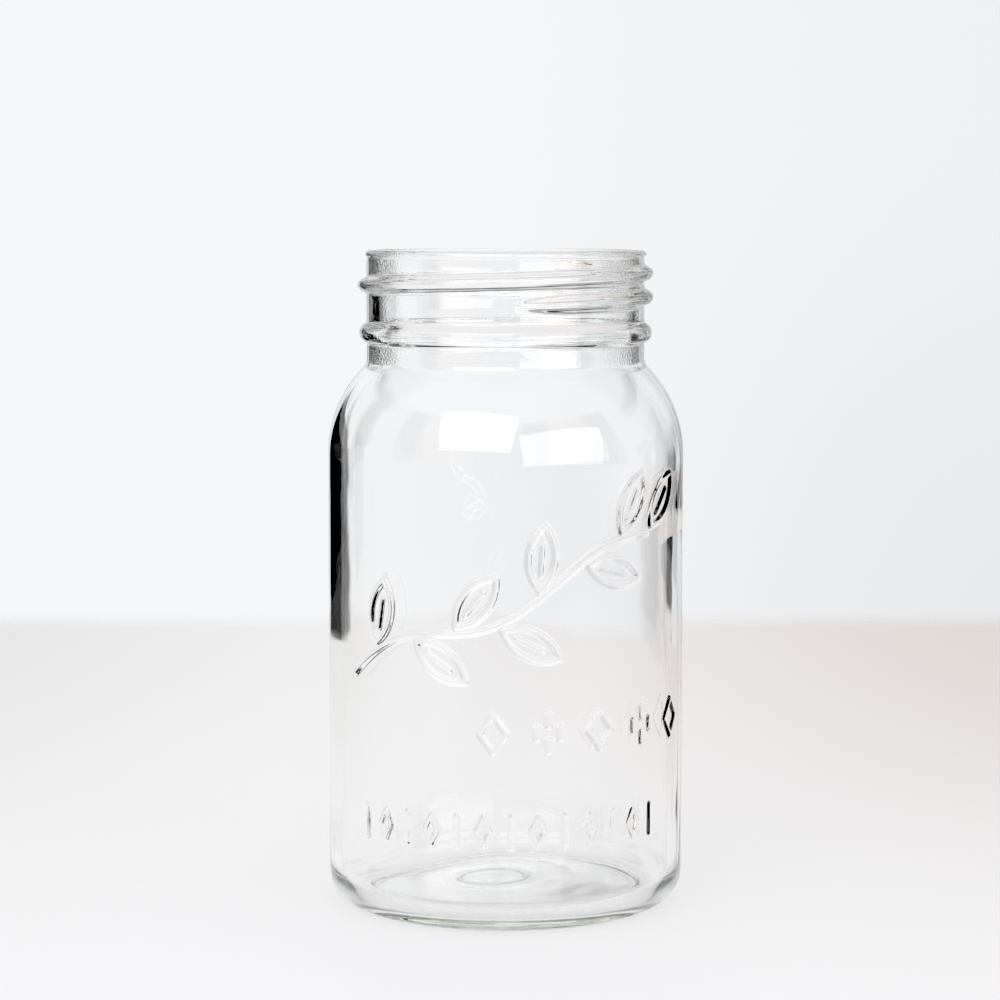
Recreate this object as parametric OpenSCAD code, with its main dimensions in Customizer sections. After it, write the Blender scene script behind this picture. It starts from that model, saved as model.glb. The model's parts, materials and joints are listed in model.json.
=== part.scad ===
// Open canning jar of clear glass with a continuous screw thread.
// The jar is one piece of glass. Each module below is one region of it, as the mould forms it,
// and the regions meet face to face. The origin is at the centre of the resting ring, +Z is up
// and the ornamented front faces -Y.

/* [Overall] */
// Height from the resting surface to the top of the rim
jar_h = 176; // [165:1:200]
// Outside diameter of the body
body_d = 95.5; // [92:0.5:100]
// Thickness of the glass in the body and the shoulder
wall_t = 3.2; // [2.4:0.1:3.6]

/* [Base] */
// Radius of the rounded heel, outside
heel_r = 8; // [7:0.5:10]
// Radius of the rounded corner inside the heel
inner_heel_r = 5.8; // [5:0.1:7]
// Thickness of the glass in the floor
floor_t = 4.1; // [3:0.1:5]
// Width of the flat ring that the jar stands on
bearing_w = 2.8; // [1.5:0.1:4]
// Height of the push-up at the centre of the underside
push_up = 2.2; // [1.2:0.1:3]
// Height of the step at the edge of the push-up
push_up_step = 0.7; // [0.4:0.1:1]
// Diameter of the round mark on the underside
mark_d = 18.6; // [12:0.2:24]
// Sideways offset of the round mark
mark_x = -3.7; // [-6:0.1:6]
// Offset of the round mark towards the back
mark_y = 3; // [-6:0.1:6]

/* [Shoulder and neck] */
// Height at which the straight side ends
body_top = 121; // [110:1:125]
// Radius of the shoulder, outside
shoulder_r = 33.4; // [30:0.2:36]
// Outside diameter of the neck and of the wall behind the thread
neck_d = 74.2; // [72:0.2:76]
// Radius of the hollow fillet between shoulder and neck
neck_fillet_r = 3; // [2:0.5:4]
// Radius of the rounded step inside, between shoulder and neck
inner_fillet_r = 5; // [4:0.5:6]

/* [Finish] */
// Thickness of the glass in the neck and behind the thread
finish_t = 3.4; // [2.8:0.1:3.8]
// Height of the middle of the bead below the rim
bead_drop = 22.2; // [21:0.1:23]
// Diameter over the bead
bead_d = 78.2; // [77:0.1:79.5]
// Height of the bead where it meets the wall
bead_w = 5; // [4:0.1:5.6]
// Diameter over the screw thread
thread_d = 79; // [78:0.1:80]
// Rise of the screw thread in one turn
thread_pitch = 6.35; // [6:0.05:6.6]
// Height of the thread where it meets the wall
thread_w = 3.9; // [3:0.1:4.2]
// Height of the middle of the thread below the rim, where it starts
thread_drop = 14.2; // [13.6:0.1:14.4]
// Angle at which the thread starts, round from the front
thread_start = 3; // [0:1:30]
// Angle that the thread turns through
thread_sweep = 520; // [420:5:540]
// Angle over which each end of the thread runs out
thread_runout = 20; // [10:1:40]
// Height of the rounded lip
lip_h = 2.2; // [1.8:0.1:3]
// How far the lip stands out from the wall below it
lip_out = 0.6; // [0.3:0.1:0.8]

/* [Ornament] */
// How far the ornament stands out of the body
relief_h = 0.6; // [0.3:0.1:1]
// Width of the raised lines
line_w = 1.4; // [1:0.1:2]
// Number of leaves along the sprig
leaf_count = 7; // [5:1:9]
// Length of a leaf
leaf_len = 19; // [12:1:20]
// Width of a leaf
leaf_w = 8.5; // [6:0.5:10]
// Number of motifs in the lozenge row
lozenge_count = 5; // [3:1:6]
// Number of motifs in the border row
border_count = 13; // [9:2:15]

/* [Hidden] */
$fn = 96;

glass_clear = [0.86, 0.91, 0.90, 0.45];
glass_edge = [0.72, 0.82, 0.80, 0.55];
glass_relief = [0.78, 0.86, 0.86, 0.75];

// Body and base
body_r = body_d / 2;
body_inner_r = body_r - wall_t;
bearing_outer_r = body_r - heel_r;
bearing_inner_r = bearing_outer_r - bearing_w;
inner_heel_x = body_inner_r - inner_heel_r;
heel_top = max(heel_r, floor_t + inner_heel_r);
mark_section_r = 0.45;
arc_steps = 12;

// Shoulder: one big arc outside, then a hollow fillet into the neck
neck_r = neck_d / 2;
neck_inner_r = neck_r - finish_t;
shoulder_x = body_r - shoulder_r;
shoulder_inner_r = shoulder_r - wall_t;
fillet_x = neck_r + neck_fillet_r;
fillet_reach = shoulder_r + neck_fillet_r;
shoulder_angle = acos((fillet_x - shoulder_x) / fillet_reach);
fillet_z = body_top + fillet_reach * sin(shoulder_angle);
inner_fillet_x = neck_inner_r + inner_fillet_r;
inner_reach = shoulder_inner_r + inner_fillet_r;
inner_angle = acos((inner_fillet_x - shoulder_x) / inner_reach);
inner_fillet_z = body_top + inner_reach * sin(inner_angle);
neck_bottom = max(fillet_z, inner_fillet_z) + 0.2;

// Finish
bead_z = jar_h - bead_drop;
neck_top = bead_z - bead_w / 2;
bead_out = bead_d / 2 - neck_r;
bead_section_r = (bead_w * bead_w / 4 + bead_out * bead_out) / (2 * bead_out);
lip_bottom = jar_h - lip_h;
lip_outer_r = neck_r + lip_out;
lip_round_out = 1.3;
lip_round_in = 1.2;
thread_out = thread_d / 2 - neck_r;
thread_step = 8;
thread_sides = 8;

// Ornament
seam_w = 0.9;
seam_out = 0.2;
block_depth = 6;
sprig_from = -55;
sprig_to = 50;
sprig_low = 66;
sprig_rise = 37;
sprig_wave = 3.5;
stem_steps = 30;
leaf_lean = 48;
leaf_gap = 1.1;
leaf_first = 0.1;
leaf_last = 0.88;
lozenge_from = -4;
lozenge_to = 65;
lozenge_z = 53;
lozenge_len = 11.5;
lozenge_w = 8.5;
petal_gap = 0.28;
petal_size = 0.4;
border_from = -49;
border_to = 52;
border_z = 27.5;
dash_len = 9;
slim_len = 10;
slim_w = 5;

// Points along an arc in the section plane, from angle a to angle b
function arc(x, y, r, a, b) = [
  for (i = [0 : arc_steps])
    let (t = a + (b - a) * i / arc_steps)
    [x + r * cos(t), y + r * sin(t)]
];

// Points of a shallow dome from the axis out to radius r, lifted by edge and risen by rise
function dome(r, edge, rise) = [
  for (i = [0 : arc_steps])
    let (x = r * i / arc_steps)
    [x, edge + rise * (1 - (x / r) * (x / r))]
];

function reversed(points) = [for (i = [len(points) - 1 : -1 : 0]) points[i]];

module tube(r, thickness, bottom, top) {
  translate([0, 0, bottom])
    difference() {
      cylinder(r = r, h = top - bottom);
      translate([0, 0, -1])
        cylinder(r = r - thickness, h = top - bottom + 2);
    }
}

module base() {
  underside = dome(bearing_inner_r, push_up_step, push_up - push_up_step);
  floor_face = dome(bearing_inner_r, floor_t, push_up - push_up_step);
  color(glass_edge)
    rotate_extrude()
      polygon(concat(underside, reversed(floor_face)));
}

module base_ring_mark() {
  mark_r = mark_d / 2;
  underside = dome(bearing_inner_r, push_up_step, push_up - push_up_step);
  color(glass_edge)
    difference() {
      translate([mark_x, mark_y, push_up - mark_section_r])
        rotate_extrude()
          translate([mark_r, 0])
            circle(r = mark_section_r * 2, $fn = 16);
      rotate_extrude()
        polygon(concat(underside, [[bearing_inner_r, heel_r], [0, heel_r]]));
    }
}

module heel() {
  outside = arc(bearing_outer_r, heel_r, heel_r, -90, 0);
  inside = arc(inner_heel_x, floor_t + inner_heel_r, inner_heel_r, 0, -90);
  color(glass_edge)
    rotate_extrude()
      polygon(concat(
        [[bearing_inner_r, 0]],
        outside,
        [[body_r, heel_top]],
        inside,
        [[bearing_inner_r, floor_t]]
      ));
}

module body_wall() {
  color(glass_clear)
    tube(body_r, wall_t, heel_top, body_top);
}

module shoulder() {
  outside = arc(shoulder_x, body_top, shoulder_r, 0, shoulder_angle);
  outer_fillet = arc(fillet_x, fillet_z, neck_fillet_r, 180 + shoulder_angle, 180);
  inner_fillet = arc(inner_fillet_x, inner_fillet_z, inner_fillet_r, 180, 180 + inner_angle);
  inside = arc(shoulder_x, body_top, shoulder_inner_r, inner_angle, 0);
  color(glass_clear)
    rotate_extrude()
      polygon(concat(
        outside,
        outer_fillet,
        [[neck_r, neck_bottom], [neck_inner_r, neck_bottom]],
        inner_fillet,
        inside
      ));
}

module neck() {
  color(glass_clear)
    tube(neck_r, finish_t, neck_bottom, neck_top);
}

module transfer_bead() {
  color(glass_edge)
    rotate_extrude()
      intersection() {
        translate([bead_d / 2 - bead_section_r, bead_z])
          circle(r = bead_section_r);
        translate([neck_r, bead_z - bead_w])
          square([bead_w, 2 * bead_w]);
      }
}

module finish_wall() {
  color(glass_clear)
    tube(neck_r, finish_t, neck_top, lip_bottom);
}

module sealing_rim() {
  outside = arc(lip_outer_r - lip_round_out, jar_h - lip_round_out, lip_round_out, 0, 90);
  inside = arc(neck_inner_r + lip_round_in, jar_h - lip_round_in, lip_round_in, 90, 180);
  color(glass_edge)
    rotate_extrude()
      polygon(concat(
        [[neck_inner_r, lip_bottom], [neck_r, lip_bottom]],
        outside,
        inside
      ));
}

// How far the thread stands out at the angle a from its start, 0 to 1
function thread_grow(a) = sin(90 * min(1, a / thread_runout, (thread_sweep - a) / thread_runout));

// One closed section of the thread, as points round the helix at the angle a
function thread_ring(a) =
  let (
    g = max(0.04, thread_grow(a)),
    turn = thread_start + a,
    z = jar_h - thread_drop + thread_pitch * a / 360
  )
  [
    for (i = [0 : thread_sides - 1])
      let (
        t = 180 * i / (thread_sides - 1),
        r = neck_r + thread_out * g * sin(t)
      )
      [r * sin(turn), -r * cos(turn), z - thread_w / 2 * cos(t) * (0.4 + 0.6 * g)]
  ];

// Closed solid through equal rings of points, each with the same number of sides
module swept(points, sides) {
  last = len(points) - sides;
  side_faces = [
    for (p = [0 : sides : last - sides])
      for (i = [0 : sides - 1])
        let (j = (i + 1) % sides)
        each [
          [p + i, p + j, p + j + sides],
          [p + i, p + j + sides, p + i + sides]
        ]
  ];
  start_face = [for (i = [sides - 1 : -1 : 0]) i];
  end_face = [for (i = [0 : sides - 1]) last + i];
  polyhedron(points = points, faces = concat(side_faces, [start_face, end_face]));
}

module screw_thread() {
  rings = ceil(thread_sweep / thread_step);
  color(glass_edge)
    swept(
      points = [for (k = [0 : rings]) each thread_ring(thread_sweep * k / rings)],
      sides = thread_sides
    );
}

// The part of its children that lies in the thin layer of raised ornament on the body
module on_body(out) {
  intersection() {
    children();
    translate([0, 0, heel_top])
      difference() {
        cylinder(r = body_r + out, h = body_top - heel_top);
        translate([0, 0, -1])
          cylinder(r = body_r, h = body_top - heel_top + 2);
      }
  }
}

// Stands a flat outline on the body at the angle turn from the front and the height z
module at_body(turn, z) {
  rotate([0, 0, turn])
    translate([0, block_depth - body_r, z])
      rotate([90, 0, 0])
        linear_extrude(height = block_depth + 2 * relief_h)
          children();
}

module mould_seams() {
  color(glass_edge)
    on_body(seam_out)
      for (side = [-1, 1])
        translate([side * body_r, 0, (heel_top + body_top) / 2])
          cube([8 * seam_out, seam_w, body_top - heel_top], center = true);
}

// Pointed oval with its lower tip at the origin, drawn in by inset
module leaf_outline(inset) {
  side_r = (leaf_len * leaf_len + leaf_w * leaf_w) / (4 * leaf_w);
  translate([0, leaf_len / 2])
    intersection_for (side = [-1, 1])
      translate([side * (side_r - leaf_w / 2), 0])
        circle(r = side_r - inset);
}

// Leaf outline with a separate slim rib, clear of the stem by the gap
module leaf() {
  rib_w = line_w / 2;
  translate([0, leaf_gap]) {
    difference() {
      leaf_outline(0);
      leaf_outline(line_w);
    }
    polygon([
      [0, leaf_len * 0.25],
      [rib_w, leaf_len * 0.4],
      [0, leaf_len * 0.7],
      [-rib_w, leaf_len * 0.4]
    ]);
  }
}

function sprig_turn(s) = sprig_from + (sprig_to - sprig_from) * s;
function sprig_z(s) = sprig_low + sprig_rise * s + sprig_wave * sin(540 * s);

// Slope of the stem at s, as an angle from the horizontal on the unrolled body
function sprig_slope(s) =
  let (
    d = 0.01,
    run = (sprig_turn(s + d) - sprig_turn(s - d)) * PI / 180 * body_r
  )
  atan2(sprig_z(s + d) - sprig_z(s - d), run);

// Section of the stem at s: a low rectangle across the stem, standing on the body
function stem_ring(s) =
  let (
    across = sprig_slope(s) + 90,
    turn_step = line_w / 2 * cos(across) / body_r * 180 / PI,
    z_step = line_w / 2 * sin(across)
  )
  [
    for (corner = [[-1, 0], [-1, 1], [1, 1], [1, 0]])
      let (
        turn = sprig_turn(s) + corner[0] * turn_step,
        r = body_r + corner[1] * relief_h
      )
      [r * sin(turn), -r * cos(turn), sprig_z(s) + corner[0] * z_step]
  ];

module sprig_stem() {
  swept(points = [for (k = [0 : stem_steps]) each stem_ring(k / stem_steps)], sides = 4);
}

module sprig_relief() {
  color(glass_relief) {
    sprig_stem();
    on_body(relief_h) {
      for (k = [0 : leaf_count - 1]) {
        s = leaf_first + (leaf_last - leaf_first) * k / (leaf_count - 1);
        lean = k % 2 == 0 ? leaf_lean : -leaf_lean;
        at_body(sprig_turn(s), sprig_z(s))
          rotate(sprig_slope(s) - 90 + lean)
            leaf();
      }
      at_body(sprig_turn(1), sprig_z(1))
        rotate(sprig_slope(1) - 90 + leaf_lean)
          leaf();
    }
  }
}

// Solid upright lozenge
module lozenge(length, width) {
  polygon([
    [0, -length / 2],
    [width / 2, 0],
    [0, length / 2],
    [-width / 2, 0]
  ]);
}

module lozenge_frame(length, width) {
  inner = 1 - 2 * line_w / width;
  difference() {
    lozenge(length, width);
    lozenge(length * inner, width * inner);
  }
}

module petals() {
  for (side = [-1, 1], place = [[0, side], [side, 0]])
    translate(place * petal_gap * lozenge_len)
      lozenge(lozenge_len * petal_size, lozenge_w * petal_size);
}

module lozenge_relief() {
  color(glass_relief)
    on_body(relief_h)
      for (k = [0 : lozenge_count - 1]) {
        s = k / (lozenge_count - 1);
        at_body(lozenge_from + (lozenge_to - lozenge_from) * s, lozenge_z)
          if (k % 2 == 0) lozenge_frame(lozenge_len, lozenge_w);
          else petals();
      }
}

module dash() {
  tip = line_w / 2;
  end = dash_len / 2;
  polygon([
    [0, -end],
    [tip, tip - end],
    [tip, end - tip],
    [0, end],
    [-tip, end - tip],
    [-tip, tip - end]
  ]);
}

module border_relief() {
  color(glass_relief)
    on_body(relief_h)
      for (k = [0 : border_count - 1])
        at_body(border_from + (border_to - border_from) * k / (border_count - 1), border_z)
          if (k % 2 == 0) dash();
          else lozenge_frame(slim_len, slim_w);
}

base();
base_ring_mark();
heel();
body_wall();
shoulder();
neck();
transfer_bead();
finish_wall();
sealing_rim();
screw_thread();
mould_seams();
sprig_relief();
lozenge_relief();
border_relief();
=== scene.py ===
"""Open canning jar of clear glass, on a pale table in soft daylight.

The whole jar is one closed glass skin, because light bends wherever glass ends. It is laid out as rings of
points round the axis, and every ring has a radius, a height and the region that it belongs to. Angles go
round from the front (-Y) towards +X. Lengths are in millimetres until the mesh is made, in metres.
"""
import json
import math

import bmesh
import bpy
import numpy as np
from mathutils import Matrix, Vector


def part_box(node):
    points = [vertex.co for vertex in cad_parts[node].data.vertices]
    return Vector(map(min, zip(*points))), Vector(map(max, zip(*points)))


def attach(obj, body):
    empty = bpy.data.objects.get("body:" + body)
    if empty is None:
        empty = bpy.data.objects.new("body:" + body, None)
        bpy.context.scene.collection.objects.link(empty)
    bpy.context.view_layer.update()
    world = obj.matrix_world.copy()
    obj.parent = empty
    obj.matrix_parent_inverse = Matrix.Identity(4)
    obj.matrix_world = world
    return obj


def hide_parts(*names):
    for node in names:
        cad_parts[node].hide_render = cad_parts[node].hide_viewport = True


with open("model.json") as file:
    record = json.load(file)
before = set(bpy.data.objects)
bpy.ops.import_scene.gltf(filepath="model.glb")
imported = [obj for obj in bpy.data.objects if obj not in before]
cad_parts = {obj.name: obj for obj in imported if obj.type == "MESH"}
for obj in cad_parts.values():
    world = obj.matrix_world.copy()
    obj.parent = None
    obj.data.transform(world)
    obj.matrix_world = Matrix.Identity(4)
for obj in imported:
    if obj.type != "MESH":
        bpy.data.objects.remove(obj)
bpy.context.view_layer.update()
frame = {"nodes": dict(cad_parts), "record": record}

MM = 0.001

# ---------------------------------------------------------------- sizes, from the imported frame


def node_radius(node):
    low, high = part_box(node)
    return (high.x - low.x) / 2 / MM


def node_span(node):
    low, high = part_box(node)
    return low.z / MM, high.z / MM


def mount(name):
    return next(m for m in frame["record"]["mounts"] if m["name"] == name)


JAR_TOP = node_span("sealing_rim")[1]
BODY_TOP = node_span("body_wall")[1]
BODY_R = node_radius("heel")
NECK_R = node_radius("neck")
MOUTH_R = mount("mouth")["dims"]["r_mm"]
NECK_BOTTOM = node_span("neck")[0]
LIP_BOTTOM = node_span("sealing_rim")[0]
LIP_R = node_radius("sealing_rim")
BEAD_BOTTOM, BEAD_TOP = node_span("transfer_bead")
BEAD_OUT = node_radius("transfer_bead") - NECK_R
THREAD_OUT = node_radius("screw_thread") + 0.1 - NECK_R

# Shape that the frame's boxes do not give
WALL = 3.2
HEEL_R = 8.0
FLOOR_Z = 4.1
FLOOR_R = 38.7
BEARING_W = 2.8
DOME_RISE = 1.5
DOME_EDGE = 0.7
STEP_W = 1.6
SHOULDER_R = 33.4
FILLET_R = 3.0
INNER_FILLET_R = 5.0
LIP_OUTER_ROUND = 1.3
LIP_INNER_ROUND = 1.2
THREAD_PITCH = 6.35
THREAD_HALF_W = 2.05
THREAD_DROP = 14.2
THREAD_START = 3.0
THREAD_SWEEP = 520.0
THREAD_RUNOUT = 26.0
THREAD_FOOT = 3.2
MARK_X, MARK_Y = -3.7, 3.0
MARK_R = 9.0
MARK_HALF_W = 0.7
MARK_OUT = 0.45
SWIRL_OUT, SWIRL_PITCH = 0.12, 12.0
SEAM_HALF_W = 0.55
SEAM_OUT = 0.14

# Raised ornament, as in the frame
RELIEF_OUT = 0.55
LINE_HALF_W = 1.0
LINE_FLANK = 0.65
SPRIG_FROM, SPRIG_TO = -55.0, 50.0
SPRIG_LOW, SPRIG_RISE, SPRIG_WAVE = 66.0, 37.0, 3.5
LEAF_COUNT, LEAF_LEN, LEAF_W, LEAF_LEAN, LEAF_GAP = 7, 19.0, 8.5, 48.0, 1.1
LEAF_FIRST, LEAF_LAST = 0.1, 0.88
LOZENGE_COUNT, LOZENGE_LEN, LOZENGE_W = 5, 11.5, 8.5
LOZENGE_FROM, LOZENGE_TO, LOZENGE_Z = -4.0, 65.0, 53.0
BORDER_COUNT, BORDER_FROM, BORDER_TO, BORDER_Z = 13, -49.0, 52.0, 27.5
DASH_LEN, SLIM_LEN, SLIM_W = 9.0, 10.0, 5.0
RIB_FROM, RIB_TO = 0.27, 0.68
DOT_OFFSET, DOT_HALF = 0.28, 1.2
# Width of these lines, as a share of the others
RIB_WIDTH, DOT_WIDTH, SLIM_WIDTH = 0.8, 1.3, 0.9
# From the outline of a shape in to the middle of its line, at its sides and at the tips of a leaf
LINE_INSET, TIP_INSET = 0.7, 1.1

# Mesh steps: columns round the axis, rings up each stretch, extra cuts near the ornament
COLUMNS = 220
BODY_STEP = 1.5
NECK_STEP = 1.2
BEAD_STEP = 0.4
GAP_STEP = 0.8
THREAD_STEP = 0.35
MARK_ZONE_R, MARK_STEP = 15.0, 0.55
INSIDE_NECK_STEP, INSIDE_BODY_STEP = 2.2, 3.5
FLOOR_RINGS = 26
FINE_CUTS = 3
FINE_REACH = 0.9

# How uneven the wall is inside. Side means the sine of the angle: -1 far left, 1 far right
UNEVEN_FROM, UNEVEN_TO, UNEVEN_FADE = 8.0, 140.0, 22.0
SIDE_WALL = 0.2
LEFT_WEDGE = 0.6
LEFT_EDGE_LOW, LEFT_EDGE_CHANGE = 0.4, 0.8
LEFT_EDGE_FROM, LEFT_EDGE_OVER = 110.0, 34.0
RIGHT_THIN, RIGHT_THIN_FROM, RIGHT_THIN_OVER = 1.4, 100.0, 20.0
LEAN_OUT, LEAN_MIDDLE, LEAN_OVER = 0.28, 68.0, 32.0
# Shallow waves: depth, turn per millimetre of height, waves round the axis, phase
OUTSIDE_WAVES = [(0.012, 0.21, 3, 0.0), (0.010, 0.47, -7, 0.0)]
INSIDE_WAVES = [(0.035, 0.115, 2, 0.7), (0.03, 0.083, -5, 2.0), (0.012, 0.21, 9, 0.0), (0.02, 0.05, 13, 0.0)]


def smooth(t):
    t = np.clip(t, 0.0, 1.0)
    return t * t * (3.0 - 2.0 * t)


def arc(x, z, r, a, b, steps):
    return [
        (x + r * math.cos(math.radians(t)), z + r * math.sin(math.radians(t)))
        for t in np.linspace(a, b, steps + 1)
    ]


def straight(r, low, high, step):
    count = max(1, round(abs(high - low) / step))
    return [(r, z) for z in np.linspace(low, high, count + 1)]


# ---------------------------------------------------------------- ring layout


def outer_rings():
    """Radius and height of each ring outside, from the middle of the underside up to the lip."""
    bearing_out = BODY_R - HEEL_R
    bearing_in = bearing_out - BEARING_W
    rings = []
    dome_end = bearing_in - STEP_W
    mark_zone = list(np.arange(1.5, MARK_ZONE_R, MARK_STEP))
    for r in mark_zone + list(np.linspace(MARK_ZONE_R + 1.5, dome_end, 7)):
        rings.append((r, DOME_EDGE + DOME_RISE * (1 - (r / bearing_in) ** 2)))
    for t in np.linspace(0.25, 1.0, 4):
        rings.append((dome_end + STEP_W * t, (DOME_EDGE + 0.1) * (1 - float(smooth(t)))))
    rings += [(bearing_in + 0.8, 0.0), (bearing_out - 0.6, 0.0)]
    rings += arc(bearing_out, HEEL_R, HEEL_R, -90, 0, 16)
    rings += straight(BODY_R, HEEL_R, BODY_TOP, BODY_STEP)[1:]
    shoulder_x = BODY_R - SHOULDER_R
    reach = SHOULDER_R + FILLET_R
    turn = math.degrees(math.acos((NECK_R + FILLET_R - shoulder_x) / reach))
    fillet_z = BODY_TOP + reach * math.sin(math.radians(turn))
    rings += arc(shoulder_x, BODY_TOP, SHOULDER_R, 0, turn, 24)[1:]
    rings += arc(NECK_R + FILLET_R, fillet_z, FILLET_R, 180 + turn, 180, 7)[1:]
    rings += straight(NECK_R, fillet_z, BEAD_BOTTOM - 1, NECK_STEP)[1:]
    rings += straight(NECK_R, BEAD_BOTTOM - 1, BEAD_TOP + 1, BEAD_STEP)[1:]
    thread_low = JAR_TOP - THREAD_DROP - THREAD_FOOT
    rings += straight(NECK_R, BEAD_TOP + 1, thread_low, GAP_STEP)[1:]
    rings += straight(NECK_R, thread_low, LIP_BOTTOM, THREAD_STEP)[1:]
    flange_z = JAR_TOP - LIP_OUTER_ROUND
    for t in (0.25, 0.5, 0.75):
        flange_r = NECK_R + (LIP_R - NECK_R) * float(smooth(t))
        rings.append((flange_r, LIP_BOTTOM + (flange_z - LIP_BOTTOM) * t))
    rings += arc(LIP_R - LIP_OUTER_ROUND, flange_z, LIP_OUTER_ROUND, 0, 90, 9)
    return rings


def inner_rings():
    """Radius and height of each ring inside, from the lip down to the middle of the floor."""
    rings = arc(MOUTH_R + LIP_INNER_ROUND, JAR_TOP - LIP_INNER_ROUND, LIP_INNER_ROUND, 90, 180, 7)
    shoulder_x = BODY_R - SHOULDER_R
    inner_r = SHOULDER_R - WALL
    reach = inner_r + INNER_FILLET_R
    turn = math.degrees(math.acos((MOUTH_R + INNER_FILLET_R - shoulder_x) / reach))
    fillet_z = BODY_TOP + reach * math.sin(math.radians(turn))
    rings += straight(MOUTH_R, JAR_TOP - LIP_INNER_ROUND, fillet_z, INSIDE_NECK_STEP)[1:]
    rings += arc(MOUTH_R + INNER_FILLET_R, fillet_z, INNER_FILLET_R, 180, 180 + turn, 7)[1:]
    rings += arc(shoulder_x, BODY_TOP, inner_r, turn, 0, 12)[1:]
    heel_in = BODY_R - WALL - FLOOR_R
    rings += straight(BODY_R - WALL, BODY_TOP, FLOOR_Z + heel_in, INSIDE_BODY_STEP)[1:]
    rings += arc(FLOOR_R, FLOOR_Z + heel_in, heel_in, 0, -90, 10)[1:]
    for r in np.linspace(FLOOR_R, 1.5, FLOOR_RINGS)[1:]:
        rings.append((r, FLOOR_Z + DOME_RISE * (1 - (r / FLOOR_R) ** 2)))
    return rings


def column_angles():
    """Angles of the columns of points, with a few more along the two mould seams."""
    angles = set(np.round(np.arange(COLUMNS) * 360.0 / COLUMNS - 180.0, 6))
    for side in (-90.0, 90.0):
        angles |= {side - 1.0, side - 0.5, side + 0.5, side + 1.0}
    return np.array(sorted(angles))


# ---------------------------------------------------------------- raised ornament on the body

ARC_PER_DEGREE = math.radians(1.0) * BODY_R


def sprig_point(s):
    turn = SPRIG_FROM + (SPRIG_TO - SPRIG_FROM) * s
    return turn * ARC_PER_DEGREE, SPRIG_LOW + SPRIG_RISE * s + SPRIG_WAVE * math.sin(math.radians(540 * s))


def sprig_slope(s):
    (u0, z0), (u1, z1) = sprig_point(s - 0.01), sprig_point(s + 0.01)
    return math.atan2(z1 - z0, u1 - u0)


def placed(points, u, z, turn):
    c, s = math.cos(turn), math.sin(turn)
    return [(u + c * x - s * y, z + s * x + c * y) for x, y in points]


def leaf_sides():
    """The two sides of a leaf that points up from the origin, drawn along the middle of its raised line."""
    length, width = LEAF_LEN - 2 * TIP_INSET, LEAF_W - 2 * LINE_INSET
    r = (length * length + width * width) / (4 * width)
    half = math.degrees(math.asin(length / 2 / r))
    middle = LEAF_GAP + LEAF_LEN / 2
    sides = []
    for side in (-1, 1):
        sides.append([
            (side * (r * math.cos(math.radians(t)) - r + width / 2), middle + r * math.sin(math.radians(t)))
            for t in np.linspace(-half, half, 11)
        ])
    return sides


def lozenge_line(u, z, length, width):
    """The middle of the raised line round an upright lozenge."""
    shrink = 1 - 2 * LINE_INSET / width
    a, b = width / 2 * shrink, length / 2 * shrink
    return [(u, z - b), (u + a, z), (u, z + b), (u - a, z), (u, z - b)]


def ornament_strokes():
    """Every raised line of the ornament, as (points on the unrolled body, half width).

    Every second mark of the lower row is four dots, and of the border a slim lozenge.
    """
    strokes = [([sprig_point(s) for s in np.linspace(0, 1, 40)], LINE_HALF_W)]
    leaves = []
    for k in range(LEAF_COUNT):
        s = LEAF_FIRST + (LEAF_LAST - LEAF_FIRST) * k / (LEAF_COUNT - 1)
        lean = math.radians(LEAF_LEAN if k % 2 == 0 else -LEAF_LEAN)
        leaves.append((sprig_point(s), sprig_slope(s) - math.pi / 2 + lean))
    leaves.append((sprig_point(1.0), sprig_slope(1.0) - math.pi / 2 + math.radians(LEAF_LEAN)))
    for (u, z), turn in leaves:
        for side in leaf_sides():
            strokes.append((placed(side, u, z, turn), LINE_HALF_W))
        rib = [(0, LEAF_GAP + LEAF_LEN * RIB_FROM), (0, LEAF_GAP + LEAF_LEN * RIB_TO)]
        strokes.append((placed(rib, u, z, turn), RIB_WIDTH * LINE_HALF_W))
    for k in range(LOZENGE_COUNT):
        s = k / (LOZENGE_COUNT - 1)
        u = (LOZENGE_FROM + (LOZENGE_TO - LOZENGE_FROM) * s) * ARC_PER_DEGREE
        if k % 2 == 0:
            strokes.append((lozenge_line(u, LOZENGE_Z, LOZENGE_LEN, LOZENGE_W), LINE_HALF_W))
            continue
        off = DOT_OFFSET * LOZENGE_LEN
        for x, y in ((0, off), (0, -off), (off, 0), (-off, 0)):
            dot = [(u + x, LOZENGE_Z + y - DOT_HALF), (u + x, LOZENGE_Z + y + DOT_HALF)]
            strokes.append((dot, DOT_WIDTH * LINE_HALF_W))
    for k in range(BORDER_COUNT):
        u = (BORDER_FROM + (BORDER_TO - BORDER_FROM) * k / (BORDER_COUNT - 1)) * ARC_PER_DEGREE
        if k % 2 == 0:
            half = DASH_LEN / 2 - LINE_INSET
            strokes.append(([(u, BORDER_Z - half), (u, BORDER_Z + half)], LINE_HALF_W))
        else:
            strokes.append((lozenge_line(u, BORDER_Z, SLIM_LEN, SLIM_W), SLIM_WIDTH * LINE_HALF_W))
    return strokes


STROKES = ornament_strokes()


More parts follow.
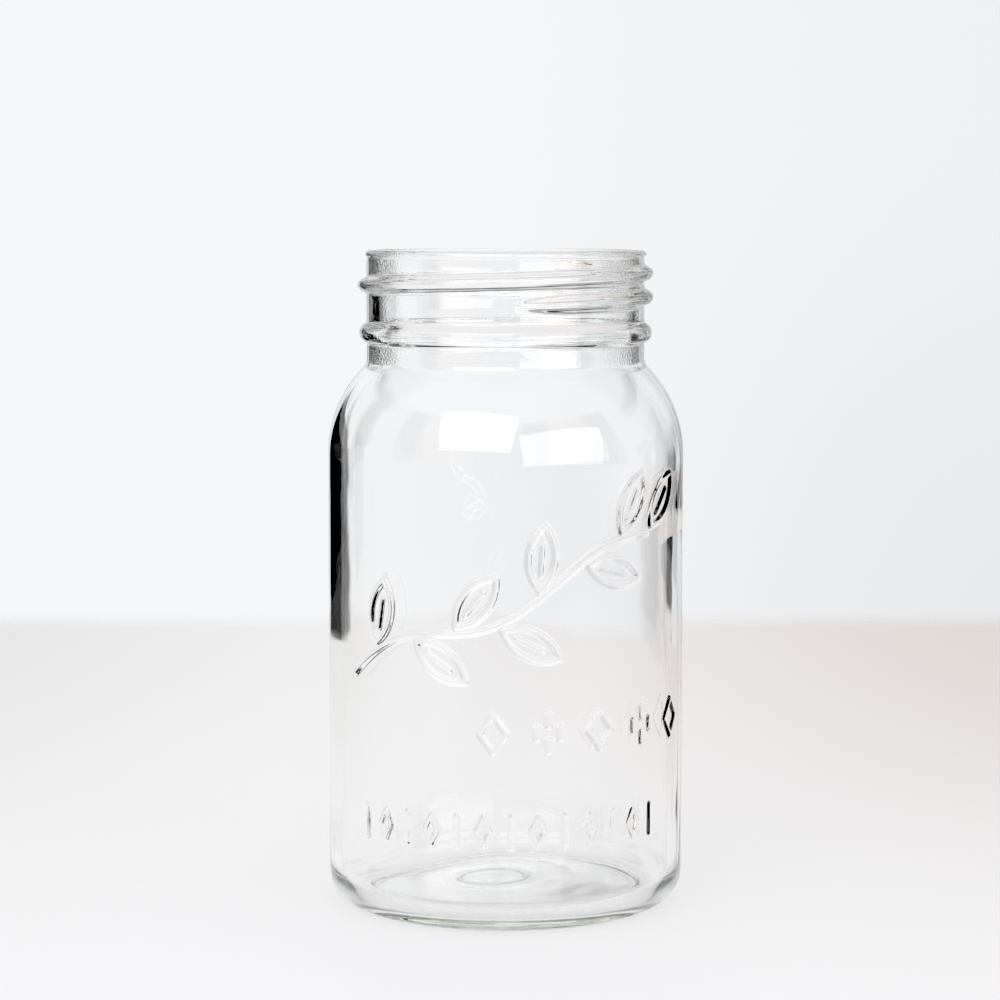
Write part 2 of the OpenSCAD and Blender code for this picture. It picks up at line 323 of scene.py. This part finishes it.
def relief(u, z):
    """Height of the ornament and closeness to it, at points of the unrolled body."""
    height = np.zeros_like(u)
    gap = np.full_like(u, 1e3)
    for points, half in STROKES:
        for (u0, z0), (u1, z1) in zip(points, points[1:]):
            du, dz = u1 - u0, z1 - z0
            near = (abs(u - (u0 + u1) / 2) < abs(du) / 2 + 4) & (abs(z - (z0 + z1) / 2) < abs(dz) / 2 + 4)
            if not near.any():
                continue
            pu, pz = u[near] - u0, z[near] - z0
            t = np.clip((pu * du + pz * dz) / (du * du + dz * dz), 0, 1)
            d = np.hypot(pu - t * du, pz - t * dz)
            height[near] = np.maximum(height[near], smooth((half - d) / LINE_FLANK))
            gap[near] = np.minimum(gap[near], d - half)
    return RELIEF_OUT * height, gap


# ---------------------------------------------------------------- surface of the glass

SOFT_FOOT = (-0.45, -0.2, 0.0, 0.2, 0.45)


def bump_across(d, half, out):
    """Rounded ridge with soft feet: its height at the distance d from its middle line."""
    round_ones = [np.sqrt(np.clip(1 - ((d + shift) / half) ** 2, 0, None)) for shift in SOFT_FOOT]
    return out * sum(round_ones) / len(SOFT_FOOT)


def thread_height(turn, z):
    """Height of the screw thread at the angle turn (degrees from the front) and the height z."""
    out = np.zeros_like(z)
    for lap in range(3):
        along = (turn - THREAD_START) % 360.0 + 360.0 * lap
        middle = JAR_TOP - THREAD_DROP + THREAD_PITCH * along / 360.0
        left = np.minimum(along, THREAD_SWEEP - along) / THREAD_RUNOUT
        grow = np.sin(np.pi / 2 * np.clip(left, 0, 1))
        half = THREAD_HALF_W * (0.45 + 0.55 * grow)
        out = np.maximum(out, grow * bump_across(z - middle, half, THREAD_OUT))
    return out


def seam_height(turn):
    """Height of the two mould seams, at the far left and the far right."""
    away = abs(abs(turn) - 90.0)
    return SEAM_OUT * smooth(1 - away * ARC_PER_DEGREE / SEAM_HALF_W)


def ripples(waves, z, a):
    total = 0.0
    for depth, per_mm, around, phase in waves:
        total = total + depth * np.sin(per_mm * z + around * a + phase)
    return total


def outer_surface(r, z, turn):
    """Pushes points of the plain outer shape out to the bead, thread, seams and ornament."""
    out = np.zeros_like(r)
    finish = (z > NECK_BOTTOM) & (z < LIP_BOTTOM + 0.01)
    bead_z = (BEAD_BOTTOM + BEAD_TOP) / 2
    bead_half = (BEAD_TOP - BEAD_BOTTOM) / 2 + 0.1
    out += np.where(finish, bump_across(z - bead_z, bead_half, BEAD_OUT), 0)
    out += np.where(finish, thread_height(turn, z), 0)
    on_side = (r > BODY_R - 0.02) & (z > HEEL_R)
    out += np.where(on_side, relief(turn * ARC_PER_DEGREE, z)[0], 0)
    out += np.where(z > 1.0, seam_height(turn), 0) * smooth((z - 1.0) / 6.0) * smooth((JAR_TOP - z) / 4.0)
    return r + out + ripples(OUTSIDE_WAVES, z, np.radians(turn)) * on_side


def inner_surface(r, z, turn):
    """Moves points of the plain inner shape in and out, because a blown wall is never of one thickness.

    The glass is thicker at both sides and in a wedge at the left, thins above the left and right edges,
    and leans a little up the right side.
    """
    a = np.radians(turn)
    within = smooth((z - UNEVEN_FROM) / UNEVEN_FADE) * smooth((UNEVEN_TO - z) / UNEVEN_FADE) * (r > FLOOR_R)
    side = np.sin(a)
    on_left = smooth(0.5 - 1.2 * side)
    thicker = SIDE_WALL * side * side - LEFT_WEDGE * np.sin(2 * a) * on_left
    left_edge = LEFT_EDGE_LOW - LEFT_EDGE_CHANGE * smooth((z - LEFT_EDGE_FROM) / LEFT_EDGE_OVER)
    thicker += left_edge * smooth(-2.0 * side - 0.6)
    thicker += ripples(INSIDE_WAVES, z, a) * (0.35 + 0.65 * smooth((side + 0.5) / 0.9))
    lean = 1.25 * smooth(side + 0.2) - 0.25
    thicker += LEAN_OUT * lean * np.clip((z - LEAN_MIDDLE) / LEAN_OVER, -1, 1)
    thicker -= RIGHT_THIN * smooth(2.2 * side - 1.0) * smooth((z - RIGHT_THIN_FROM) / RIGHT_THIN_OVER)
    return r - thicker * within


def floor_swirl(x, y):
    """Faint rings that the press leaves in the floor, stronger on one side."""
    reach = np.hypot(x - MARK_X, y - MARK_Y)
    fade = smooth((reach - 3.0) / 8.0) * smooth((FLOOR_R - 2.0 - np.hypot(x, y)) / 6.0)
    stronger = 0.6 + 0.4 * x / FLOOR_R
    twist = 1.5 * np.arctan2(y, x + 60.0)
    return SWIRL_OUT * fade * stronger * np.sin(2 * np.pi * reach / SWIRL_PITCH + twist)


def mark_depth(x, y):
    """Depth of the round mark below the plain underside."""
    d = abs(np.hypot(x - MARK_X, y - MARK_Y) - MARK_R)
    return MARK_OUT * smooth(1 - d / MARK_HALF_W)


def add_plain_skin(bm, outside, inside, turns):
    """Adds the closed skin without its details, and returns the faces of the straight side outside."""
    rings = outside + inside
    n_cols = len(turns)
    verts = []
    for r, z in rings:
        for turn in np.radians(turns):
            verts.append(bm.verts.new((r * math.sin(turn), -r * math.cos(turn), z)))
    bottom = bm.verts.new((0, 0, DOME_EDGE + DOME_RISE))
    floor = bm.verts.new((0, 0, FLOOR_Z + DOME_RISE))
    side_faces = []
    for k in range(len(rings) - 1):
        on_side = k < len(outside) - 1 and min(rings[k][0], rings[k + 1][0]) > BODY_R - 0.02
        for c in range(n_cols):
            d = (c + 1) % n_cols
            p, q = k * n_cols, (k + 1) * n_cols
            face = bm.faces.new((verts[p + c], verts[p + d], verts[q + d], verts[q + c]))
            if on_side:
                side_faces.append(face)
    last = (len(rings) - 1) * n_cols
    for c in range(n_cols):
        d = (c + 1) % n_cols
        bm.faces.new((verts[d], verts[c], bottom))
        bm.faces.new((verts[last + c], verts[last + d], floor))
    return side_faces


def refine_near_ornament(bm, side_faces):
    middles = np.array([f.calc_center_median() for f in side_faces])
    u = np.degrees(np.arctan2(middles[:, 0], -middles[:, 1])) * ARC_PER_DEGREE
    gap = relief(u, middles[:, 2])[1]
    near = [f for f, g in zip(side_faces, gap) if g < FINE_REACH]
    edges = list(dict.fromkeys(e for f in near for e in f.edges))
    bmesh.ops.subdivide_edges(bm, edges=edges, cuts=FINE_CUTS, use_grid_fill=True)


def shape_skin(bm, outside_count, plain_count):
    """Moves every point of the plain skin to its real place, in metres.

    The first outside_count points are outside, the rest up to plain_count inside. The middle of the
    underside, the middle of the floor and the points of the finer cuts follow them.
    """
    bm.verts.index_update()
    co = np.array([v.co for v in bm.verts])
    index = np.arange(len(co))
    floor_middle = plain_count + 1
    outer = (index < outside_count) | ((index >= plain_count) & (index != floor_middle))
    rho = np.hypot(co[:, 0], co[:, 1])
    rho[index > floor_middle] = BODY_R
    turn = np.degrees(np.arctan2(co[:, 0], -co[:, 1]))
    z = co[:, 2].copy()
    under = outer & (z < DOME_EDGE + DOME_RISE + 0.01) & (rho < BODY_R - HEEL_R - BEARING_W)
    z[under] -= mark_depth(co[under, 0], co[under, 1])
    floor = ~outer & (rho < FLOOR_R)
    z[floor] += floor_swirl(co[floor, 0], co[floor, 1])
    r = np.where(outer, outer_surface(rho, co[:, 2], turn), inner_surface(rho, co[:, 2], turn))
    r = np.where(rho < 1e-6, 0, r)
    placed_co = np.stack([r * np.sin(np.radians(turn)), -r * np.cos(np.radians(turn)), z], 1) * MM
    for v, c in zip(bm.verts, placed_co):
        v.co = c


def glass_mesh():
    """One closed skin: underside, heel, body, shoulder, neck and lip outside, then the same inside."""
    outside, inside = outer_rings(), inner_rings()
    turns = column_angles()
    bm = bmesh.new()
    side_faces = add_plain_skin(bm, outside, inside, turns)
    refine_near_ornament(bm, side_faces)
    shape_skin(bm, len(outside) * len(turns), len(outside + inside) * len(turns))
    bmesh.ops.recalc_face_normals(bm, faces=bm.faces)
    for f in bm.faces:
        f.smooth = True
    mesh = bpy.data.meshes.new("jar_glass")
    bm.to_mesh(mesh)
    bm.free()
    return mesh


# ---------------------------------------------------------------- materials


class Maths:
    """Short names for the maths nodes of one node tree."""

    def __init__(self, tree):
        self.tree = tree

    def run(self, operation, *values):
        made = self.tree.nodes.new("ShaderNodeMath")
        made.operation = operation
        for k, value in enumerate(values):
            if isinstance(value, (int, float)):
                made.inputs[k].default_value = value
            else:
                self.tree.links.new(value, made.inputs[k])
        return made.outputs[0]

    def ramp(self, value, low, high):
        made = self.tree.nodes.new("ShaderNodeMapRange")
        made.interpolation_type = "SMOOTHSTEP"
        self.tree.links.new(value, made.inputs["Value"])
        made.inputs["From Min"].default_value = low
        made.inputs["From Max"].default_value = high
        return made.outputs["Result"]

    def fall(self, value, low, high):
        return self.run("SUBTRACT", 1.0, self.ramp(value, low, high))

    def band(self, value, low, high, soft):
        """1 between low and high, fading to 0 over soft outside them."""
        return self.product(self.ramp(value, low - soft, low), self.fall(value, high, high + soft))

    def product(self, first, *rest):
        for value in rest:
            first = self.run("MULTIPLY", first, value)
        return first

    def length(self, a, b):
        return self.run("SQRT", self.run("ADD", self.product(a, a), self.product(b, b)))

    def blend(self, share, a, b):
        made = self.tree.nodes.new("ShaderNodeMix")
        made.data_type = "RGBA"
        for socket, value in ((made.inputs[0], share), (made.inputs[6], a), (made.inputs[7], b)):
            if isinstance(value, tuple):
                socket.default_value = (*value, 1)
            elif isinstance(value, float):
                socket.default_value = value
            else:
                self.tree.links.new(value, socket)
        return made.outputs[2]


def node(tree, kind, **inputs):
    made = tree.nodes.new(kind)
    for name, value in inputs.items():
        made.inputs[name.replace("_", " ")].default_value = value
    return made


GLASS_DENSITY = 5.5
GLASS_TINT = (0.71, 0.77, 0.66, 1)
# Noise sizes, per metre: wear where the jar stands, chill marks of the neck ring, slow swell of the skin
WEAR_SCALE, CHILL_SCALE, SKIN_SCALE = 900.0, 1500.0, 38.0
WEAR_TOP = 0.0003
WEAR_ROUGHNESS = 0.35
CHILL_SIDES = (0.6, 0.85)
CHILL_EVERYWHERE = 0.5


def worn_roughness(m, place, z):
    """Roughness of the ring that the jar stands on, scuffed in spots."""
    worn = m.tree.nodes.new("ShaderNodeMapRange")
    worn.inputs["From Min"].default_value = WEAR_TOP
    worn.inputs["From Max"].default_value = 0.0
    m.tree.links.new(z, worn.inputs["Value"])
    grain = node(m.tree, "ShaderNodeTexNoise", Scale=WEAR_SCALE, Detail=3.0)
    m.tree.links.new(place, grain.inputs["Vector"])
    return m.product(worn.outputs["Result"], grain.outputs["Fac"], WEAR_ROUGHNESS)


def chill_weight(m, x, y, z):
    """How strongly the cool neck ring has dimpled the inside of the finish: most at its foot and its top."""
    inside = m.fall(m.length(x, y), (MOUTH_R + 0.8) * MM, (MOUTH_R + 1.4) * MM)
    finish = m.ramp(z, (NECK_BOTTOM - 3.0) * MM, NECK_BOTTOM * MM)
    foot = m.band(z, (NECK_BOTTOM - 1.0) * MM, (NECK_BOTTOM + 4.0) * MM, 1.0 * MM)
    head = m.ramp(z, (JAR_TOP - 9.0) * MM, (JAR_TOP - 7.0) * MM)
    rows = m.run("ADD", CHILL_EVERYWHERE, m.run("ADD", foot, head))
    low, high = CHILL_SIDES
    sides = m.ramp(m.run("ABSOLUTE", x), low * MOUTH_R * MM, high * MOUTH_R * MM)
    return m.product(inside, finish, rows, sides)


def clear_glass():
    """Clear soda-lime glass: green-grey where light travels far through it, rubbed where it stands."""
    mat = bpy.data.materials.new("clear_glass")
    mat.use_nodes = True
    tree = mat.node_tree
    tree.nodes.clear()
    m = Maths(tree)
    out = tree.nodes.new("ShaderNodeOutputMaterial")
    shader = node(tree, "ShaderNodeBsdfPrincipled", IOR=1.5, Transmission_Weight=1.0)
    shader.inputs["Base Color"].default_value = (1, 1, 1, 1)
    tree.links.new(shader.outputs["BSDF"], out.inputs["Surface"])
    depth = node(tree, "ShaderNodeVolumeAbsorption", Density=GLASS_DENSITY)
    depth.inputs["Color"].default_value = GLASS_TINT
    tree.links.new(depth.outputs["Volume"], out.inputs["Volume"])

    place = tree.nodes.new("ShaderNodeTexCoord").outputs["Object"]
    split = tree.nodes.new("ShaderNodeSeparateXYZ")
    tree.links.new(place, split.inputs["Vector"])
    x, y, z = split.outputs
    tree.links.new(worn_roughness(m, place, z), shader.inputs["Roughness"])

    chill = node(tree, "ShaderNodeTexNoise", Scale=CHILL_SCALE, Detail=1.0)
    tree.links.new(place, chill.inputs["Vector"])
    mottle = node(tree, "ShaderNodeBump", Strength=0.6, Distance=0.0001)
    tree.links.new(m.product(chill_weight(m, x, y, z), chill.outputs["Fac"]), mottle.inputs["Height"])
    skin = node(tree, "ShaderNodeTexNoise", Scale=SKIN_SCALE, Detail=0.0)
    tree.links.new(place, skin.inputs["Vector"])
    swell = node(tree, "ShaderNodeBump", Strength=0.1, Distance=0.0005)
    tree.links.new(skin.outputs["Fac"], swell.inputs["Height"])
    tree.links.new(mottle.outputs["Normal"], swell.inputs["Normal"])
    tree.links.new(swell.outputs["Normal"], shader.inputs["Normal"])
    return mat


# ---------------------------------------------------------------- stage, light and camera

BLACK = (0.0, 0.0, 0.0)
PALE_LEFT = (0.924, 0.933, 0.950)
PALE_RIGHT = (0.875, 0.883, 0.900)
PALE_RIGHT_LOW = (0.820, 0.828, 0.846)
PALE_TURN = (-0.04, 0.18)
PALE_RISE = (-8.0, 2.0)

CAMERA_AWAY = 0.788
CAMERA_HIGH = 0.185
CAMERA_ASIDE = -0.0015
CAMERA_DOWN = 5.54
LENS = 105.5
BLACK_POINT = 0.08

# Table top, in metres: its far edge, how softly that melts into the wall, the hair of air under the jar
TABLE_BACK = 0.547
TABLE_FADE = 0.03
TABLE_GAP = 0.00005
TABLE_HALF = 2.5
# Painted light: the share of the table's colour that glows, standing in for light from every side
TABLE_PAINTED_LIGHT = 0.8
# Painted shade: the table is lighter at the front and darker further back and towards its far sides
TABLE_NEAR = (0.905, 0.905, 0.92)
TABLE_FAR_SHADE = (0.865, 0.86, 0.86)
TABLE_ASIDE_SHADE = (0.79, 0.79, 0.785)
TABLE_ROSY = (0.75, 0.695, 0.67)
# Painted shade: darker towards the windows in front, where their light falls strongest
TABLE_FRONT_SHADE = (0.56, 0.56, 0.57)
# Painted shadow under the jar, a little to its right: its colour, then its share, offset and reach below
TABLE_UNDER_SHADOW = (0.45, 0.46, 0.45)
FAR_SHADE_FROM = (-0.25, 0.5)
ASIDE_SHADE_FROM = (0.05, 0.25)
ROSY_FROM = (-0.1, 0.3)
UNDER_SHADOW_SHARE = 0.25
UNDER_SHADOW_ASIDE = 0.010
UNDER_SHADOW_REACH = (0.014, 0.036)
FRONT_SHADE_FROM = (0.12, 0.6)
# Shaded far left of the table: azimuth left of +Y in degrees, distance from the jar
SHADE_TURN = (24.5, 55.0)
SHADE_FROM = (0.51, 0.54)
SHADE_COLOUR = (0.02, 0.02, 0.02)


def table_material():
    """Pale matt table top that melts into the wall behind it and is a little rosy on the far right.

    Most of its brightness is painted light: a soft glow, as on a table that is lit from every side. Painted
    shade darkens it further back, at its far sides and towards the windows, a painted shadow lies under the
    jar, and glass also sees its shaded far left.
    """
    mat = bpy.data.materials.new("table_top")
    mat.use_nodes = True
    tree = mat.node_tree
    m = Maths(tree)
    shader = tree.nodes["Principled BSDF"]
    shader.inputs["Roughness"].default_value = 0.6
    shader.inputs["Specular IOR Level"].default_value = 0.05
    place = tree.nodes.new("ShaderNodeTexCoord")
    split = tree.nodes.new("ShaderNodeSeparateXYZ")
    tree.links.new(place.outputs["Object"], split.inputs["Vector"])
    x, y, _ = split.outputs
    far = m.ramp(y, *FAR_SHADE_FROM)
    aside = m.product(far, m.ramp(m.run("ABSOLUTE", x), *ASIDE_SHADE_FROM))
    rosy = m.product(far, m.ramp(x, *ROSY_FROM))
    front = m.ramp(m.product(y, -1.0), *FRONT_SHADE_FROM)
    # Painted shadow of the jar on the table beneath it
    under = m.fall(m.length(m.run("SUBTRACT", x, UNDER_SHADOW_ASIDE), y), *UNDER_SHADOW_REACH)
    # Painted shade: darker further back and at the far sides, as the light falls off
    colour = m.blend(far, TABLE_NEAR, TABLE_FAR_SHADE)
    colour = m.blend(aside, colour, TABLE_ASIDE_SHADE)
    colour = m.blend(rosy, colour, TABLE_ROSY)
    # Painted shade towards the windows
    colour = m.blend(front, colour, TABLE_FRONT_SHADE)
    colour = m.blend(m.product(under, UNDER_SHADOW_SHARE), colour, TABLE_UNDER_SHADOW)
    turn = m.run("DEGREES", m.run("ARCTAN2", m.product(x, -1.0), y))
    ray = tree.nodes.new("ShaderNodeLightPath")
    shaded = m.product(m.band(turn, *SHADE_TURN, 2.0), m.ramp(m.length(x, y), *SHADE_FROM))
    shaded = m.product(shaded, m.run("SUBTRACT", 1.0, ray.outputs["Is Camera Ray"]))
    colour = m.blend(shaded, colour, SHADE_COLOUR)
    # Painted light: the glowing share is taken out of the lit colour and given as emission instead
    tree.links.new(m.blend(TABLE_PAINTED_LIGHT, colour, BLACK), shader.inputs["Base Color"])
    tree.links.new(colour, shader.inputs["Emission Color"])
    shader.inputs["Emission Strength"].default_value = TABLE_PAINTED_LIGHT
    tree.links.new(m.fall(y, TABLE_BACK - TABLE_FADE, TABLE_BACK + TABLE_FADE), shader.inputs["Alpha"])
    return mat


def make_table():
    bm = bmesh.new()
    back = TABLE_BACK + TABLE_FADE
    side = TABLE_HALF
    corners = [(-side, -side), (side, -side), (side, back), (-side, back)]
    bm.faces.new([bm.verts.new((x, y, -TABLE_GAP)) for x, y in corners])
    mesh = bpy.data.meshes.new("table_top")
    bm.to_mesh(mesh)
    bm.free()
    table = bpy.data.objects.new("table_top", mesh)
    bpy.context.scene.collection.objects.link(table)
    mesh.materials.append(table_material())


# Dark parts of the room, in degrees: azimuth left of +Y, elevation, and how dark each one is
DARK_STRETCHES = [  # from, to, softness, darkness
    (-24.0, -12.0, 5.0, 0.12),
    (62.0, 76.0, 3.0, 0.95),
    (104.0, 118.0, 3.0, 0.95),
    (-166.0, -150.0, 3.0, 0.95),
    (-120.0, -104.0, 3.0, 0.95),
]
STRETCH_TOP = (34.0, 38.0)
RIGHT_STRETCH = (-50.0, -34.0)
RIGHT_TOP = (2.0, 8.0)
LEFT_STRETCH = (20.0, 50.0)
LEFT_TOP_AT = 50.0
LEFT_TOP_SLANT = 0.3
FAR_SHELF = (-15.0, -4.0)
FAR_SHELF_SPAN = (16.0, 25.0)
FAR_SHELF_DARK = 0.55
UPPER_BAND = (29.0, 33.5)
OVERHEAD_BAND = (33.5, 56.0)
UPPER_DARK, OVERHEAD_DARK = 0.97, 0.4
UPPER_SIDES = (75.0, 90.0)
UPPER_COLOUR = (0.02, 0.018, 0.015)
# Brightness of the rest of the room
NEAR_SIDE = (0.62, 0.63, 0.65)
NEAR_SIDE_FROM = (80.0, 130.0)
WARM_STRETCH = (124.0, 150.0)
WARM_SHARE = 0.6
WARM_COLOUR = (1.15, 0.80, 0.58)
CEILING = (1.12, 1.12, 1.142)
CEILING_FROM = (34.0, 40.0)


def room_dark(m, azimuth, elevation):
    """How dark each direction is, from 0 to 1, for the stretches that stand on the table's level."""
    low, high = LEFT_STRETCH
    slanted = m.run("ADD", elevation, m.product(m.run("SUBTRACT", azimuth, LEFT_TOP_AT), LEFT_TOP_SLANT))
    left = m.product(m.ramp(azimuth, low - 2.0, low + 2.0), m.fall(azimuth, high, high + 2.0))
    left = m.product(left, m.fall(slanted, -1.0, 1.0))
    right = m.product(m.band(azimuth, *RIGHT_STRETCH, 2.0), m.fall(elevation, *RIGHT_TOP))
    dark = m.run("MAXIMUM", left, right)
    for low, high, soft, amount in DARK_STRETCHES:
        dark = m.run("MAXIMUM", dark, m.product(m.band(azimuth, low, high, soft), amount))
    dark = m.product(dark, m.fall(elevation, *STRETCH_TOP))
    shelf = m.product(m.band(azimuth, *FAR_SHELF, 3.0), m.band(elevation, *FAR_SHELF_SPAN, 2.0))
    return m.run("MAXIMUM", dark, m.product(shelf, FAR_SHELF_DARK))


def upper_dark(m, azimuth, elevation):
    """How dark the upper part of the far half of the room is: it draws the lines under thread and bead."""
    upper = m.product(m.band(elevation, *UPPER_BAND, 1.5), UPPER_DARK)
    overhead = m.product(m.band(elevation, *OVERHEAD_BAND, 2.0), OVERHEAD_DARK)
    far_half = m.fall(m.run("ABSOLUTE", azimuth), *UPPER_SIDES)
    return m.product(m.run("MAXIMUM", upper, overhead), far_half)


def make_room():
    """Pale room round the table. The view sees its plain pale wall; glass also sees its darker stretches."""
    world = bpy.data.worlds.new("room")
    bpy.context.scene.world = world
    world.use_nodes = True
    tree = world.node_tree
    tree.nodes.clear()
    m = Maths(tree)
    place = tree.nodes.new("ShaderNodeTexCoord")
    split = tree.nodes.new("ShaderNodeSeparateXYZ")
    tree.links.new(place.outputs["Generated"], split.inputs["Vector"])
    x, y, z = split.outputs
    azimuth = m.run("DEGREES", m.run("ARCTAN2", m.product(x, -1.0), y))
    elevation = m.run("DEGREES", m.run("ARCSINE", z))
    aside = m.run("ABSOLUTE", azimuth)
    right_wall = m.blend(m.ramp(elevation, *PALE_RISE), PALE_RIGHT_LOW, PALE_RIGHT)
    wall = m.blend(m.ramp(x, *PALE_TURN), PALE_LEFT, right_wall)

    room = m.blend(m.ramp(aside, *NEAR_SIDE_FROM), wall, NEAR_SIDE)
    room = m.blend(m.product(m.band(aside, *WARM_STRETCH, 5.0), WARM_SHARE), room, WARM_COLOUR)
    room = m.blend(m.ramp(elevation, *CEILING_FROM), room, CEILING)
    room = m.blend(room_dark(m, azimuth, elevation), room, BLACK)
    room = m.blend(upper_dark(m, azimuth, elevation), room, UPPER_COLOUR)
    ray = tree.nodes.new("ShaderNodeLightPath")
    colour = m.blend(ray.outputs["Is Camera Ray"], room, wall)
    back = tree.nodes.new("ShaderNodeBackground")
    tree.links.new(colour, back.inputs["Color"])
    out = tree.nodes.new("ShaderNodeOutputWorld")
    tree.links.new(back.outputs["Background"], out.inputs["Surface"])


WINDOW_AWAY = 1.6
WINDOWS = [  # azimuth right of -Y, elevation, width, height, power
    ("window_left", -20.0, 28.0, 1.4, 1.0, 10.0),
    ("window_right", 38.0, 13.0, 1.6, 0.85, 9.0),
]


def make_window(name, azimuth, elevation, width, height, power):
    """Soft window light behind the camera, facing the shoulder of the jar."""
    light = bpy.data.lights.new(name, "AREA")
    light.shape = "RECTANGLE"
    light.size = width
    light.size_y = height
    light.energy = power
    lamp = bpy.data.objects.new(name, light)
    a, e = math.radians(azimuth), math.radians(elevation)
    flat = WINDOW_AWAY * math.cos(e)
    lamp.location = (flat * math.sin(a), -flat * math.cos(a), BODY_TOP * MM + WINDOW_AWAY * math.sin(e))
    lamp.rotation_euler = (math.pi / 2 - e, 0, a)
    lamp.visible_camera = False
    bpy.context.scene.collection.objects.link(lamp)


def make_camera():
    data = bpy.data.cameras.new("camera")
    data.lens = LENS
    data.sensor_width = 36.0
    camera = bpy.data.objects.new("camera", data)
    camera.location = (CAMERA_ASIDE, -CAMERA_AWAY, CAMERA_HIGH)
    camera.rotation_euler = (math.radians(90.0 - CAMERA_DOWN), 0, 0)
    bpy.context.scene.collection.objects.link(camera)
    bpy.context.scene.camera = camera


BOUNCES = 24
DIFFUSE_BOUNCES = 4


def render_quality():
    """Enough bounces for light to leave the glass, and the slightly deepened darks of the picture."""
    scene = bpy.context.scene
    scene.view_settings.view_transform = "Standard"
    scene.view_settings.use_curve_mapping = True
    scene.view_settings.curve_mapping.black_level = (BLACK_POINT,) * 3
    scene.cycles.max_bounces = BOUNCES
    scene.cycles.transmission_bounces = BOUNCES
    scene.cycles.glossy_bounces = BOUNCES
    scene.cycles.diffuse_bounces = DIFFUSE_BOUNCES
    scene.cycles.use_denoising = True


make_camera()
jar = bpy.data.objects.new("jar_glass", glass_mesh())
bpy.context.scene.collection.objects.link(jar)
jar.data.materials.append(clear_glass())
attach(jar, "root")
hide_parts(*sorted(frame["nodes"]))

make_table()
make_room()
for window in WINDOWS:
    make_window(*window)
render_quality()
